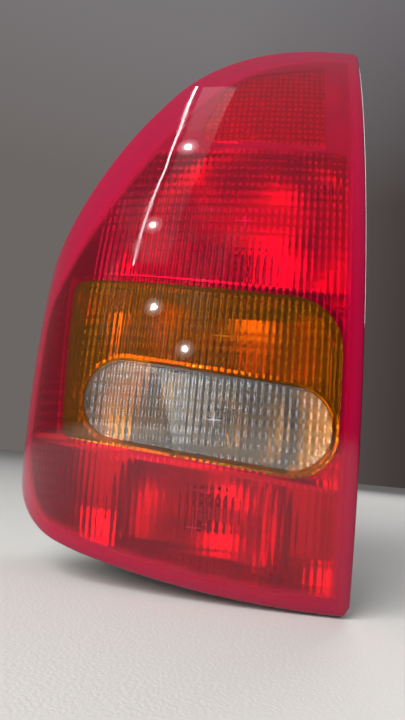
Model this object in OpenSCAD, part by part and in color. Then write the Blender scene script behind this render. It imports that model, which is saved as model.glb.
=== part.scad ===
// Tail light cluster for the left rear corner of a small hatchback.
// A wrap-round lens in red, amber and clear closes a moulded housing with a metallised reflector.
// Four bayonet bulbs sit on one carrier that snaps into the back of the housing.
// Lamp axes: X to the car's centre, Y into the car, Z up along the straight inner edge.
// Every piece is drawn from the lens corner and moved at the end to the centre of the four lower studs.

/* [Lens outline] */
// height of the straight inner edge
inner_h = 360; // [320:1:400]
// width from the inner edge to the side of the car
lens_w = 200; // [180:1:220]
// radius of the big upper shoulder
shoulder_r = 116; // [100:1:130]
// flat length of the top edge before the shoulder
shoulder_x = 20; // [18:1:30]
// slope of the straight run below the shoulder, degrees
shoulder_slope = 61; // [57:1:64]
// radius where that run turns down the side
side_r = 50; // [30:1:70]
// radius of the lower outer corner
low_r = 62; // [45:1:75]
// radius of the long lower edge
bottom_r = 640; // [500:10:900]
// radius of the two inner corners
edge_r = 5; // [3:0.5:8]

/* [Lens skin] */
// radius of the upright barrel curve
barrel_r = 465; // [420:5:600]
// height of the foremost point
barrel_z = 110; // [90:1:130]
// radius of the level crown curve
crown_r = 500; // [420:10:900]
// distance of the crown's foremost line from the inner edge
crown_x = 60; // [40:1:80]
// distance from the side of the lamp to the end of the corner roll
side_in = 1.6; // [1:0.1:3]
// radius of the corner roll
corner_r = 80; // [74:1:84]
// wall thickness of the lens
lens_t = 3; // [2.5:0.1:4]
// depth of the lens side wall
rim_depth = 24; // [18:1:30]
// depth of the rear edge of the wrapped side behind the foremost point
side_depth = 102; // [96:1:106]
// spacing of the upright flutes
flute_pitch = 3.5; // [3:0.1:5]
// height of a flute
flute_h = 0.45; // [0.2:0.05:0.7]

/* [Lens windows] */
// distance of the amber window from the inner edge
amber_x = 10.5; // [8:0.5:16]
// distance of its outer border from the inner edge, at the top
amber_far = 160; // [150:1:165]
// height of its top edge at the inner edge
amber_top = 153; // [145:1:165]
// height of its bottom edge at the inner edge
amber_low = 60.7; // [50:0.5:65]
// slope of its top edge, degrees
amber_top_slope = 2.9; // [0:0.1:5]
// slope of its bottom edge, degrees
amber_low_slope = 4.6; // [0:0.1:6]
// lean of its outer border, degrees
amber_lean = 4.2; // [0:0.1:8]
// radii of its inner top, inner bottom and outer corners
amber_radii = [27, 21, 7];
// centre of the clear window
pill_at = [-78, 91];
// distance between the centres of its round ends
pill_span = 87.6; // [70:0.2:95]
// radius of its round ends
pill_r = 20.4; // [16:0.1:21]
// slope of the clear window, degrees
pill_slope = 5; // [0:0.5:8]
// gap between lens colours moulded against each other
joint_gap = 0.05; // [0.02:0.01:0.2]

/* [Reflex reflector] */
// corners of the reflex reflector, from the inner edge and down from the top
reflex_pts = [[23, 107], [24, 28], [79, 41], [88, 55], [98, 95], [94, 103]];
// spacing of its upright prisms
prism_w = 3.43; // [3:0.01:6]
// depth of its prisms
prism_h = 1.7; // [1:0.1:2]
// thickness of the reflex reflector with its prisms
reflex_t = 4.8; // [4.6:0.1:6]

/* [Housing] */
// depth of the mounting plane behind the foremost point
mount_depth = 115; // [112:1:125]
// thickness of the mounting gasket when fitted
gasket_t = 4; // [3:0.5:6]
// wall thickness of the housing
house_t = 2.6; // [2:0.1:4]
// gap between the lens wall and the housing wall inside it
lens_gap = 0.3; // [0.1:0.05:0.5]
// height of the housing wall that stands inside the lens wall
tongue_h = 4; // [2:0.5:8]
// projection of the housing flange beyond the lens
flange_out = 1.2; // [0.6:0.1:3]
// thickness of the housing flange
flange_t = 3; // [2:0.5:5]
// offset of the square vent hole from the inner edge and its height
vent_at = [-15.5, 240];
// side of the square vent hole
vent_w = 5; // [3:0.5:8]

/* [Studs and screws] */
// distance of the outer studs from the side of the lamp
stud_out = 35; // [33:1:41]
// height of the upper pair of the four lower studs above the centre of the side's arc
stud_over = 49.39; // [40:0.01:51]
// distance of the inner studs from the inner edge
stud_in = 13; // [12:0.5:16]
// height of the lowest studs
stud_low = 45; // [40:1:50]
// place of the single upper stud, from the inner edge and down from the top
stud_top = [24, 20];
// thread diameter of the studs
stud_d = 5; // [4:1:6]
// length of the studs behind the mounting plane
stud_l = 18; // [12:1:25]
// across flats of the stud heads
stud_head = 8; // [7:0.5:10]
// place of the reflector's upper screw, from the inner edge and down from the top
screw_top = [40, 60];
// places of its outer screws, from the outer side and up
screw_out = [[54, 178], [60, 40]];
// place of its inner screw, from the inner edge and up
screw_in = [21, 20];
// shank diameter of these screws
screw_d = 3.5; // [3:0.1:4]
// head diameter of these screws
screw_head = 7; // [6:0.5:8]
// length of these screws in the reflector
screw_l = 12; // [8:1:16]

/* [Reflector] */
// depth of the ledge behind the lens skin
ledge = 24; // [20:1:30]
// wall thickness of the reflector
refl_t = 1.8; // [1.2:0.1:2.5]
// gap between the reflector and the housing or lens
refl_gap = 0.4; // [0.2:0.1:1]
// radius of the bulb openings
bulb_hole = 14; // [13:0.5:15]
// distances of the tail, indicator, reversing and fog bowls behind their filaments
bowl_f = [22, 16, 16, 12];
// radii of these bowls
bowl_r = [72, 60, 46, 50];
// depth of the tunnel behind the clear window
tunnel_l = 45; // [36:1:55]

/* [Bulbs and carrier] */
// bulb axes: tail and brake, indicator, reversing, fog
bulb_at = [[-65, 200], [-72, 131], [-74, 90], [-78, 36]];
// distance of the bulb pins in front of the carrier's sealing face
pin_depth = 9; // [8:0.5:12]
// distance from the pins to the filament
light_l = 31.8; // [28:0.1:34]
// radius of a bulb's glass
glass_r = 12.5; // [11:0.5:13]
// radius of a bulb's cap
cap_r = 7.5; // [7:0.1:8]
// distance of the carrier's middle from the inner edge
carrier_x = 72; // [70:1:74]
// width of the carrier plate
carrier_w = 80; // [76:1:86]
// distance from the lowest bulb's axis to the carrier's lower end
carrier_low = 16; // [15:0.5:16]
// distance from the highest bulb's axis to the carrier's upper end
carrier_top = 20; // [18:1:30]
// thickness of the carrier plate
carrier_t = 3; // [2.5:0.5:5]
// thickness of the carrier's seal when fitted
seal_t = 1.5; // [1:0.5:3]
// gap round a cap in its holder, and round a strip in its groove
socket_gap = 0.3; // [0.1:0.05:0.5]
// width of the contact strips
strip_w = 3; // [2:0.5:4]
// thickness of the contact strips
strip_t = 0.8; // [0.5:0.1:1]
// centre of the cable connector
plug_at = [-97, 118];
// spacing of its blades
blade_pitch = 6.5; // [6:0.5:8]
// depth of its open shroud
plug_depth = 16; // [12:1:22]

/* [Hidden] */
$fn = 48;
eps = 0.01;
far = 500;

// centres of the outline's arcs
shoulder_n = [-sin(shoulder_slope), cos(shoulder_slope)];
shoulder_c = [-shoulder_x, inner_h - shoulder_r];
side_cx = -lens_w + side_r;
side_run = shoulder_r - side_r - shoulder_n.x * (side_cx - shoulder_c.x);
side_c = [side_cx, shoulder_c.y + side_run / shoulder_n.y];
low_cx = -lens_w + low_r;
low_c = [low_cx, bottom_r - sqrt(pow(bottom_r - low_r, 2) - low_cx * low_cx)];
bottom_c = [0, bottom_r];

// centres of the skin's arcs, as [radius from the barrel axis, X]
side_tilt = -84;
side_n = [cos(side_tilt), sin(side_tilt)];
crown_c = [barrel_r - crown_r, -crown_x];
crown_tilt = asin((side_in - lens_w - crown_c.y - corner_r * side_n.y) / (crown_r - corner_r));
corner_n = [cos(crown_tilt), sin(crown_tilt)];
corner_c = crown_c + (crown_r - corner_r) * corner_n;
core_r = 300;

// depths of the planes at the back
back_y = mount_depth - gasket_t;
floor_y = back_y - house_t;
refl_back = floor_y - refl_gap;
seal_y = back_y + seal_t;
carrier_y = seal_y + carrier_t;
pin_y = back_y - pin_depth;
tip_y = back_y + 0.6;
focus_y = pin_y - light_l;
stud_w = lens_w - stud_out - stud_in;
stud_h = side_c.y + stud_over - stud_low;
studs = [
  [-stud_in, stud_low], [-stud_in - stud_w, stud_low], [-stud_in, stud_low + stud_h],
  [-stud_in - stud_w, stud_low + stud_h], [-stud_top.x, inner_h - stud_top.y]
];
screws = [
  [-screw_top.x, inner_h - screw_top.y], [screw_out[0].x - lens_w, screw_out[0].y],
  [screw_out[1].x - lens_w, screw_out[1].y], [-screw_in.x, screw_in.y]
];
shoulder_d = stud_d + 0.4;
reflex = [for (p = reflex_pts) [-p.x, inner_h - p.y]];
carrier_h = bulb_at[0].y + carrier_top - bulb_at[3].y + carrier_low;
carrier_at = [-carrier_x, bulb_at[3].y - carrier_low + carrier_h / 2];
mount_x = -stud_in - stud_w / 2;
mount_z = stud_low + stud_h / 2;

// Points of an arc round c from angle a to angle b, about six degrees apart
function arc(c, r, a, b) = let (n = max(2, ceil(abs(b - a) / 6)))
  [for (k = [0 : n]) c + r * [cos(a + (b - a) * k / n), sin(a + (b - a) * k / n)]];

// Outline of the lens seen from the rear of the car, moved inwards by i
module outline(i) {
  e = max(edge_r, i + 1);
  top_e = [-e, inner_h - e];
  low_e = [-e, bottom_r - sqrt(pow(bottom_r - e, 2) - e * e)];
  low_a = atan2(low_c.y - bottom_c.y, low_c.x);
  edge_a = atan2(low_e.y - bottom_c.y, low_e.x);
  sweep = [for (k = [1 : 7]) low_a + (edge_a - low_a) * k / 8];
  polygon(concat(
    arc(top_e, e - i, 0, 90),
    arc(shoulder_c, shoulder_r - i, 90, 90 + shoulder_slope),
    arc(side_c, side_r - i, 90 + shoulder_slope, 180),
    arc(low_c, low_r - i, 180, 360 + low_a),
    [for (t = sweep) bottom_c + (bottom_r - i) * [cos(t), sin(t)]],
    arc(low_e, e - i, edge_a, 0)
  ));
}

// Section of the body behind the skin, moved inwards by d: crown and side line, rounded by the corner roll
module skin_profile(d) {
  blend = 0.02;
  side_s = corner_c + (corner_r - d) * side_n;
  lean = tan(side_tilt + 90);
  top_r = barrel_r + corner_r;
  difference() {
    intersection() {
      translate(crown_c) circle(r = crown_r - d, $fn = 720);
      polygon([
        [top_r, side_s.y + (top_r - side_s.x) * lean], [core_r, side_s.y + (core_r - side_s.x) * lean],
        [core_r, 60], [top_r, 60]
      ]);
    }
    difference() {
      polygon([corner_c, corner_c + 3 * corner_r * corner_n, [top_r + 200, -3 * lens_w], corner_c + 3 * corner_r * side_n]);
      translate(corner_c) circle(r = corner_r - d + blend, $fn = 180);
    }
  }
}

// Section of the cavity behind a fluted lens wall
module fluted_profile() {
  cusp = 0.08;
  inner = crown_r - lens_t;
  flute_r = (pow(flute_pitch / 2, 2) + flute_h * flute_h) / (2 * flute_h);
  lift = flute_r - flute_h - cusp;
  first = asin((crown_x - edge_r - lens_t) / inner);
  step = flute_pitch / inner * 180 / PI;
  count = floor((first - crown_tilt) / step);
  roll_step = flute_pitch / (corner_r - lens_t) * 180 / PI;
  roll_count = floor((crown_tilt - side_tilt) / roll_step);
  difference() {
    skin_profile(lens_t);
    for (k = [0 : count]) {
      a = first - k * step;
      translate(crown_c + (inner + lift) * [cos(a), sin(a)]) circle(r = flute_r, $fn = 60);
    }
    for (k = [1 : roll_count]) {
      a = crown_tilt - k * roll_step;
      translate(corner_c + (corner_r - lens_t + lift) * [cos(a), sin(a)]) circle(r = flute_r, $fn = 60);
    }
  }
}

// Turns a section about the level barrel axis
module barrel(from = -46, sweep = 72) {
  translate([0, barrel_r, barrel_z]) rotate([-90, 0, -90])
    rotate_extrude(start = from, angle = sweep, $fn = 720) children();
}

module skin_body(d) {
  barrel() skin_profile(d);
}

// Extrudes a front view outline along the depth
module deep(from, to) {
  translate([0, to, 0]) rotate([90, 0, 0]) linear_extrude(height = to - from) children();
}

// Everything behind the lens rim, moved back by d
module behind_rim(d = 0) {
  translate([0, rim_depth + d, 0]) skin_body(0);
  deep(side_depth + d, far) translate([-far / 2, -50]) square([far, far]);
}

// Arc of radius r that rounds the corner q between p and s
function corner_arc(p, q, s, r) = let (
  u = (p - q) / norm(p - q), v = (s - q) / norm(s - q), half = acos(u * v) / 2,
  c = q + r / sin(half) * (u + v) / norm(u + v),
  from = q + r / tan(half) * u - c, to = q + r / tan(half) * v - c,
  a = atan2(from.y, from.x), turn = atan2(from.x * to.y - from.y * to.x, from * to)
) arc(c, r, a, a + turn);

// A polygon with an arc of its own radius at each corner
module rounded(pts, radii) {
  n = len(pts);
  polygon([for (k = [0 : n - 1]) each corner_arc(pts[(k + n - 1) % n], pts[k], pts[(k + 1) % n], radii[k])]);
}

// Heights of the lines along the window's edges
function top_line(x) = amber_top - x * tan(amber_top_slope);
function low_line(x) = amber_low - x * tan(amber_low_slope);
function far_line(z) = -amber_far + (top_line(-amber_far) - z) * tan(amber_lean);

// Front view of the amber window, moved inwards by i
module amber_window(i) {
  right = -amber_x - i;
  high = top_line(-amber_far) - i;
  low = low_line(-amber_far) + i;
  rounded(
    [
      [right, top_line(right) - i], [far_line(high) + i, top_line(far_line(high)) - i],
      [far_line(low) + i, low_line(far_line(low)) + i], [right, low_line(right) + i]
    ],
    [amber_radii[0] - i, amber_radii[2] - i, amber_radii[2] - i, amber_radii[1] - i]
  );
}

// Front view of the clear window, moved inwards by i
module pill(i) {
  end = [pill_span / 2, 0];
  translate(pill_at) rotate(-pill_slope)
    polygon(concat(arc(end, pill_r - i, -90, 90), arc(-end, pill_r - i, 90, 270)));
}

module reflex_area() {
  rounded(reflex, [2, 2, 6, 6, 4, 4]);
}

// Skin with flutes on its inner face, cut to a front view outline
module fluted_skin() {
  difference() {
    intersection() {
      deep(-20, mount_depth) children();
      skin_body(0);
    }
    barrel() fluted_profile();
  }
}

// Red moulding: front skin, wrapped side and the wall that is welded to the housing
module red_lens() in_frame() color([0.72, 0.02, 0.08]) {
  difference() {
    intersection() {
      deep(-20, mount_depth) outline(0);
      skin_body(0);
    }
    intersection() {
      deep(-30, far) outline(lens_t);
      barrel() fluted_profile();
    }
    intersection() {
      deep(-30, far) reflex_area();
      barrel(-32, 20) skin_profile(lens_t);
    }
    behind_rim();
    deep(-30, far) amber_window(0);
  }
}

// Amber moulding with a collar that frames the clear window
module amber_lens() in_frame() color([0.95, 0.45, 0.05]) {
  collar_t = 1.6;
  collar_h = 5;
  difference() {
    union() {
      fluted_skin() amber_window(joint_gap);
      difference() {
        intersection() {
          deep(-20, mount_depth) pill(-collar_t);
          skin_body(lens_t / 2);
        }
        skin_body(lens_t + collar_h);
      }
    }
    deep(-30, far) pill(0);
  }
}

module clear_lens() in_frame() color([0.9, 0.92, 0.9]) {
  fluted_skin() pill(joint_gap);
}

// Red plate with upright prisms on its back, bonded behind the plain part of the red lens
module reflex_reflector() in_frame() color([0.8, 0.03, 0.1]) {
  face = lens_t + joint_gap;
  back_r = crown_r - face - reflex_t;
  cols = floor((reflex[0].x - reflex[4].x) / prism_w);
  difference() {
    intersection() {
      deep(-20, mount_depth) reflex_area();
      barrel(-34, 24) difference() {
        skin_profile(face);
        skin_profile(face + reflex_t);
      }
    }
    barrel(-34, 24) for (k = [0 : cols]) {
      x = reflex[0].x - (k + 0.5) * prism_w;
      r = crown_c.x + sqrt(back_r * back_r - pow(x + crown_x, 2));
      half = prism_w / 2;
      polygon([[r - 1, x - half], [r, x - half], [r + prism_h, x], [r, x + half], [r - 1, x + half]]);
    }
  }
}

// Front views of the chambers, grown by g: tail, indicator, reversing, fog and the dark side pocket
module chamber(k, g) {
  wall = refl_t / 2;
  room = lens_t + lens_gap + house_t + refl_gap + refl_t - g;
  up = top_line(0) + 3.8;
  up_far = top_line(-lens_w) + 3.8;
  dn = low_line(0) - 3.2;
  dn_far = low_line(-lens_w) - 3.2;
  side = far_line(up_far) - 3.5;
  side_low = far_line(dn_far) - 3.5;
  if (k == 0) intersection() {
    outline(room);
    polygon([[0, up + wall - g], [0, far], [-lens_w, far], [-lens_w, up_far + wall - g]]);
  }
  if (k == 1) intersection() {
    outline(room);
    polygon([
      [0, dn + wall - g], [0, up - wall + g],
      [side + wall - g, up_far - wall + g], [side_low + wall - g, dn_far + wall - g]
    ]);
  }
  if (k == 2) pill(-2 - g);
  if (k == 3) intersection() {
    outline(room);
    polygon([[0, -far], [0, dn - wall + g], [-lens_w, dn_far - wall + g], [-lens_w, -far]]);
  }
  if (k == 4) intersection() {
    outline(room);
    polygon([
      [-lens_w, dn_far + wall - g], [-lens_w, up_far - wall + g],
      [side - wall + g, up_far - wall + g], [side_low - wall + g, dn_far + wall - g]
    ]);
  }
}

// Round bowl of one chamber, grown by g and cut to the chamber
module bowl(k, g) {
  intersection() {
    translate([bulb_at[k].x, focus_y + bowl_f[k] - bowl_r[k], bulb_at[k].y]) sphere(r = bowl_r[k] + g, $fn = 120);
    deep(-40, refl_back) chamber(k, g);
  }
}

// Space in front of the ledges and in the bowls, or the moulding's outside when grown by g
module light_space(g) {
  difference() {
    deep(-40, refl_back) if (g == 0) {
      for (k = [0, 1, 3, 4]) chamber(k, 0);
    } else outline(lens_t + lens_gap + house_t + refl_gap);
    skin_body(ledge + g);
  }
  for (k = [0, 1, 3]) bowl(k, g);
}

// Straight tunnel behind the clear window, closed by a bowl of its own
module tunnel(g) {
  deep(-40, tunnel_l + g) chamber(2, g);
  bowl(2, g);
}

// Metallised moulding: partition walls, ledges and four bowls open to the bulbs behind
module reflector() in_frame() color([0.82, 0.82, 0.84]) {
  difference() {
    union() {
      light_space(refl_t);
      tunnel(refl_t);
      intersection() {
        for (p = screws) bore([p.x, floor_y, p.y], screw_d, floor_y);
        skin_body(ledge + refl_t / 2);
      }
    }
    difference() {
      light_space(0);
      tunnel(refl_t);
    }
    tunnel(0);
    difference() {
      deep(-60, back_y) outline(-5);
      skin_body(lens_t + flute_h + refl_gap);
    }
    for (p = bulb_at) bore([p.x, back_y, p.y], bulb_hole, back_y - focus_y);
    for (p = screws) bore([p.x, floor_y + 1, p.y], screw_d / 2, screw_l + 3);
    translate([vent_at.x - vent_w / 2, 0, vent_at.y - vent_w / 2]) cube([vent_w, back_y, vent_w]);
  }
}

// Cylinder of radius r and length l that starts at p and runs towards the lens
module bore(p, r, l) {
  translate(p) rotate([90, 0, 0]) cylinder(r = r, h = l);
}

// Carrier plate seen from the back, moved inwards by i
module carrier_shape(i) {
  w = carrier_w / 2 - i;
  h = carrier_h / 2 - i;
  r = 10 - i;
  translate(carrier_at) rounded([[w, h], [-w, h], [-w, -h], [w, -h]], [r, r, r, r]);
}

// Dark moulding that carries everything: wall, flange, flat back with bosses, and hooks for the carrier
module housing() in_frame() color([0.2, 0.2, 0.21]) {
  out = lens_t + lens_gap;
  boss_h = 9;
  difference() {
    union() {
      intersection() {
        deep(-20, back_y) outline(out);
        behind_rim(-tongue_h);
      }
      difference() {
        intersection() {
          deep(-20, back_y) outline(-flange_out);
          behind_rim();
        }
        behind_rim(flange_t);
      }
    }
    difference() {
      deep(-30, floor_y) outline(out + house_t);
      for (p = studs) bore([p.x, back_y, p.y], stud_head * 0.85, boss_h);
    }
    deep(0, far) carrier_shape(3.5);
    for (p = studs) stud_pocket(p, boss_h);
    for (p = screws) bore([p.x, far, p.y], screw_d / 2 + 0.3, far);
  }
  for (s = [-1, 1], z = [-0.28, 0.28]) carrier_hook(s, carrier_at.y + z * carrier_h);
}

// Hexagon seat and hole for one stud head
module stud_pocket(p, boss_h) {
  translate([p.x, back_y + 1, p.y]) rotate([90, 0, 0]) cylinder(d = shoulder_d + 0.2, h = boss_h + 5);
  translate([p.x, floor_y, p.y]) rotate([90, 0, 0])
    cylinder(d = (stud_head + 0.1) / cos(30), h = boss_h, $fn = 6);
}

// Post with a lip that the carrier snaps under
module carrier_hook(s, z) {
  lip = 2.2;
  post = 3;
  gap = 0.3;
  edge = carrier_at.x + s * (carrier_w / 2 + gap);
  at = s > 0 ? edge : edge - post;
  translate([at, back_y - eps, z - 7]) cube([post, carrier_y + gap - back_y + 2.4, 14]);
  lip_at = s > 0 ? edge - lip - gap : edge;
  translate([lip_at - (s > 0 ? 0 : eps), carrier_y + gap, z - 7]) cube([lip + gap + eps, 2.4, 14]);
}

// Foam ring between the housing and the car body, with an ear round each stud
module mounting_gasket() in_frame() color([0.12, 0.12, 0.12]) {
  ring_in = 11;
  ring_out = 6;
  deep(back_y, mount_depth) difference() {
    union() {
      difference() {
        outline(ring_out);
        outline(ring_in);
      }
      intersection() {
        outline(ring_out);
        for (p = studs) translate(p) circle(r = stud_head);
      }
    }
    for (p = studs) translate(p) circle(d = shoulder_d + 0.4);
  }
}

// Five plated studs with plain shoulders and hexagon heads held in the housing
module mounting_studs() in_frame() color([0.75, 0.73, 0.68]) {
  for (p = studs) translate([p.x, mount_depth + stud_l, p.y]) rotate([90, 0, 0]) {
    cylinder(d1 = stud_d - 1, d2 = stud_d, h = 0.8);
    translate([0, 0, 0.8]) cylinder(d = stud_d, h = stud_l - 0.8);
    translate([0, 0, stud_l]) cylinder(d = shoulder_d, h = gasket_t + house_t);
    translate([0, 0, stud_l + gasket_t + house_t]) cylinder(d = stud_head / cos(30), h = 3, $fn = 6);
  }
}

// Four screws from the back into the reflector's bosses
module reflector_screws() in_frame() color([0.72, 0.7, 0.62]) {
  for (p = screws) translate([p.x, back_y, p.y]) rotate([90, 0, 0]) {
    cylinder(d = screw_d, h = house_t + screw_l);
    difference() {
      translate([0, 0, -2.4]) cylinder(d1 = screw_head - 2, d2 = screw_head, h = 2.4);
      for (a = [0, 90]) rotate(a) translate([0, 0, -2.2]) cube([4, 0.9, 2.4], center = true);
    }
  }
}

module carrier_seal() in_frame() color([0.1, 0.1, 0.1]) {
  deep(back_y, seal_y) difference() {
    carrier_shape(0.4);
    carrier_shape(3.3);
  }
}

// Routes of the contact strips on the back of the carrier, as points seen from the front
tail_pin = 3.3;
blade_z = [for (k = [0 : 5]) plug_at.y + (2.5 - k) * blade_pitch];
rail_x = bulb_at[0].x + cap_r + 1.5 + strip_w / 2;
lane = [plug_at.x + 13, plug_at.x + 17.5];
earth_foot = carrier_at.y - carrier_h / 2 + 4.5;
routes = [
  [[plug_at.x, blade_z[0]], [lane[0], blade_z[0]], [lane[0], bulb_at[0].y + tail_pin], bulb_at[0] + [0, tail_pin]],
  [[plug_at.x, blade_z[1]], [lane[1], blade_z[1]], [lane[1], bulb_at[0].y - tail_pin], bulb_at[0] - [0, tail_pin]],
  [[plug_at.x, blade_z[2]], [bulb_at[1].x, blade_z[2]], bulb_at[1]],
  [[plug_at.x, blade_z[3]], [bulb_at[2].x, blade_z[3]], bulb_at[2]],
  [[plug_at.x, blade_z[4]], [plug_at.x + 13.5, blade_z[4]], [plug_at.x + 13.5, bulb_at[3].y], bulb_at[3]],
  [[plug_at.x, blade_z[5]], [plug_at.x, earth_foot], [rail_x, earth_foot], [rail_x, bulb_at[0].y]]
];

// One leg of a strip with round ends
module leg(a, b, w) {
  d = b - a;
  translate(a) rotate(atan2(d.y, d.x)) translate([0, -w / 2]) square([norm(d), w]);
  for (p = [a, b]) translate(p) circle(d = w, $fn = 24);
}

module route(k, w) {
  for (j = [0 : len(routes[k]) - 2]) leg(routes[k][j], routes[k][j + 1], w);
  if (k == 5) for (p = bulb_at) leg([rail_x, p.y], [p.x + cap_r + 0.9, p.y], w);
}

// One stamped strip in its groove: blade in the connector, run on the carrier, end at the bulb
module contact(k) {
  blade = [strip_t, plug_depth - 4, 4.8];
  base = k == 5 ? [] : [routes[k][len(routes[k]) - 1]];
  deep(carrier_y - strip_t, carrier_y) route(k, strip_w);
  translate([plug_at.x - strip_t / 2, carrier_y - eps, blade_z[k] - blade.z / 2]) cube(blade);
  for (p = base) translate([p.x, carrier_y - strip_t + eps, p.y]) rotate([90, 0, 0])
    cylinder(d = 2.6, h = carrier_y - strip_t + eps - tip_y);
  if (k == 5) for (p = bulb_at) translate([p.x + cap_r + 0.1, pin_y + 2, p.y - 2])
    cube([strip_t, carrier_y - strip_t - pin_y - 2 + eps, 4]);
}

// Black moulding with four bayonet holders, grooves for the strips and the shroud of the connector
module bulb_carrier() in_frame() color([0.16, 0.16, 0.17]) {
  sleeve_in = cap_r + socket_gap;
  sleeve_out = sleeve_in + 1.7;
  sleeve_l = seal_y - pin_y + 5;
  slot = 2.6;
  plug_w = 16;
  plug_h = 6 * blade_pitch + 5;
  corner = [plug_w, plug_h] / 2;
  difference() {
    union() {
      deep(seal_y, carrier_y) carrier_shape(0);
      for (p = bulb_at) bore([p.x, seal_y + eps, p.y], sleeve_out, sleeve_l);
      deep(carrier_y - eps, carrier_y + plug_depth) translate(plug_at) difference() {
        rounded([corner, [-corner.x, corner.y], -corner, [corner.x, -corner.y]], [2, 2, 2, 2]);
        square([plug_w - 3.6, plug_h - 3.6], center = true);
      }
      for (z = [-0.42, 0.42]) grip(carrier_at.y + z * carrier_h);
    }
    for (p = bulb_at) bore([p.x, seal_y, p.y], sleeve_in, sleeve_l + 1);
    for (p = bulb_at, s = [0, 180]) bayonet_slot(p, s, slot, sleeve_out, sleeve_l);
    for (k = [0 : 5]) deep(carrier_y - strip_t - 0.05, carrier_y + 0.4) route(k, strip_w + socket_gap);
    for (k = [0 : 4]) contact_hole(routes[k][len(routes[k]) - 1]);
    for (p = bulb_at) translate([p.x, pin_y + 1, p.y - 2.3]) cube([cap_r + 1.2, far, 4.6]);
  }
}

// Ribbed finger grip on the back of the carrier
module grip(z) {
  translate([carrier_at.x - 4, carrier_y - eps, z - 1.2]) cube([34, 7, 2.4]);
}

module contact_hole(p) {
  translate([p.x, far, p.y]) rotate([90, 0, 0]) cylinder(d = 3.2, h = far - pin_y);
}

// Slot for one bulb pin: straight in, then a short turn
module bayonet_slot(p, s, w, r, l) {
  turn = 24;
  translate([p.x, pin_y, p.y]) rotate([90, 0, 0]) rotate(s + 90) {
    translate([0, -w / 2, -w / 2]) cube([r + 1, w, l + w / 2]);
    translate([0, 0, -w / 2]) rotate_extrude(angle = turn, $fn = 90)
      translate([cap_r - 1, 0]) square([r - cap_r + 2, w]);
  }
}

// Half section of a bulb's glass, moved inwards by i
module glass_half(i) {
  neck = cap_r - 1.1;
  intersection() {
    union() {
      circle(r = glass_r - i, $fn = 90);
      translate([0, -pin_depth - light_l + 15]) square([neck - i, light_l + pin_depth - 15]);
    }
    translate([0, -far]) square([far, 2 * far]);
  }
}

// Glass envelope with the stem that carries the filament
module bulb_glass(p) {
  wall = 0.9;
  foot = -pin_depth - light_l + 15;
  translate([p.x, focus_y, p.y]) rotate([90, 0, 0]) rotate_extrude() {
    difference() {
      glass_half(0);
      difference() {
        glass_half(wall);
        translate([0, foot - 1]) square([glass_r, 1 + wall]);
      }
    }
    translate([0, foot]) square([2.6, 12]);
  }
}

// Brass cap with two pins and its solder contacts
module bulb_cap(p, contacts) {
  foot = focus_y + light_l + pin_depth - 1;
  mouth = focus_y + light_l - 9;
  translate([p.x, foot, p.y]) rotate([90, 0, 0]) {
    difference() {
      cylinder(r = cap_r, h = foot - mouth);
      translate([0, 0, 2]) cylinder(r = cap_r - 1, h = foot);
    }
    for (s = [-1, 1]) translate([0, s * (cap_r - 0.4), foot - pin_y]) rotate([-90 * s, 0, 0])
      cylinder(d = 2, h = 1.6, $fn = 24);
    translate([0, 0, -1]) cylinder(r = cap_r - 2, h = 1 + eps);
    for (c = contacts) translate([0, c, foot - tip_y]) cylinder(d = 3, h = tip_y - foot);
  }
}

// Two lead wires and the coil between them
module bulb_filament(p) {
  wire = 0.6;
  span = 6;
  stem_top = focus_y + light_l + pin_depth - 15 - 12;
  for (s = [-1, 1]) translate([p.x + s * 1.6, stem_top, p.y]) rotate([90, 0, 0])
    cylinder(d = wire, h = stem_top - focus_y + 0.3, $fn = 16);
  translate([p.x - span / 2, focus_y, p.y]) rotate([0, 90, 0]) cylinder(d = 1.2, h = span, $fn = 16);
}

// Moves the lamp so that the stud pattern's centre on the car body is the origin
module in_frame() {
  translate([-mount_x, -mount_depth, -mount_z]) children();
}

module contact_piece(k) {
  in_frame() color([0.8, 0.65, 0.3]) contact(k);
}

module glass_piece(k) {
  in_frame() color(k == 1 ? [0.95, 0.55, 0.1] : [0.85, 0.88, 0.88]) bulb_glass(bulb_at[k]);
}

module cap_piece(k) {
  in_frame() color([0.78, 0.66, 0.38]) bulb_cap(bulb_at[k], k == 0 ? [-tail_pin, tail_pin] : [0]);
}

module filament_piece(k) {
  in_frame() color([0.4, 0.4, 0.42]) bulb_filament(bulb_at[k]);
}

red_lens();
amber_lens();
clear_lens();
reflex_reflector();
reflector();
housing();
mounting_gasket();
mounting_studs();
reflector_screws();
carrier_seal();
bulb_carrier();
contact_piece(5);  // contact_earth
contact_piece(0);  // contact_brake
contact_piece(1);  // contact_tail
contact_piece(2);  // contact_indicator
contact_piece(3);  // contact_reversing
contact_piece(4);  // contact_fog
glass_piece(0);  // bulb_tail_brake_glass
cap_piece(0);  // bulb_tail_brake_cap
filament_piece(0);  // bulb_tail_brake_filament
glass_piece(1);  // bulb_indicator_glass
cap_piece(1);  // bulb_indicator_cap
filament_piece(1);  // bulb_indicator_filament
glass_piece(2);  // bulb_reversing_glass
cap_piece(2);  // bulb_reversing_cap
filament_piece(2);  // bulb_reversing_filament
glass_piece(3);  // bulb_fog_glass
cap_piece(3);  // bulb_fog_cap
filament_piece(3);  // bulb_fog_filament
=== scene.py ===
import bmesh
import bpy
import numpy as np
from math import asin, atan2, ceil, cos, pi, radians, sin, sqrt, tan
from mathutils import Matrix, Vector


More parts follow.
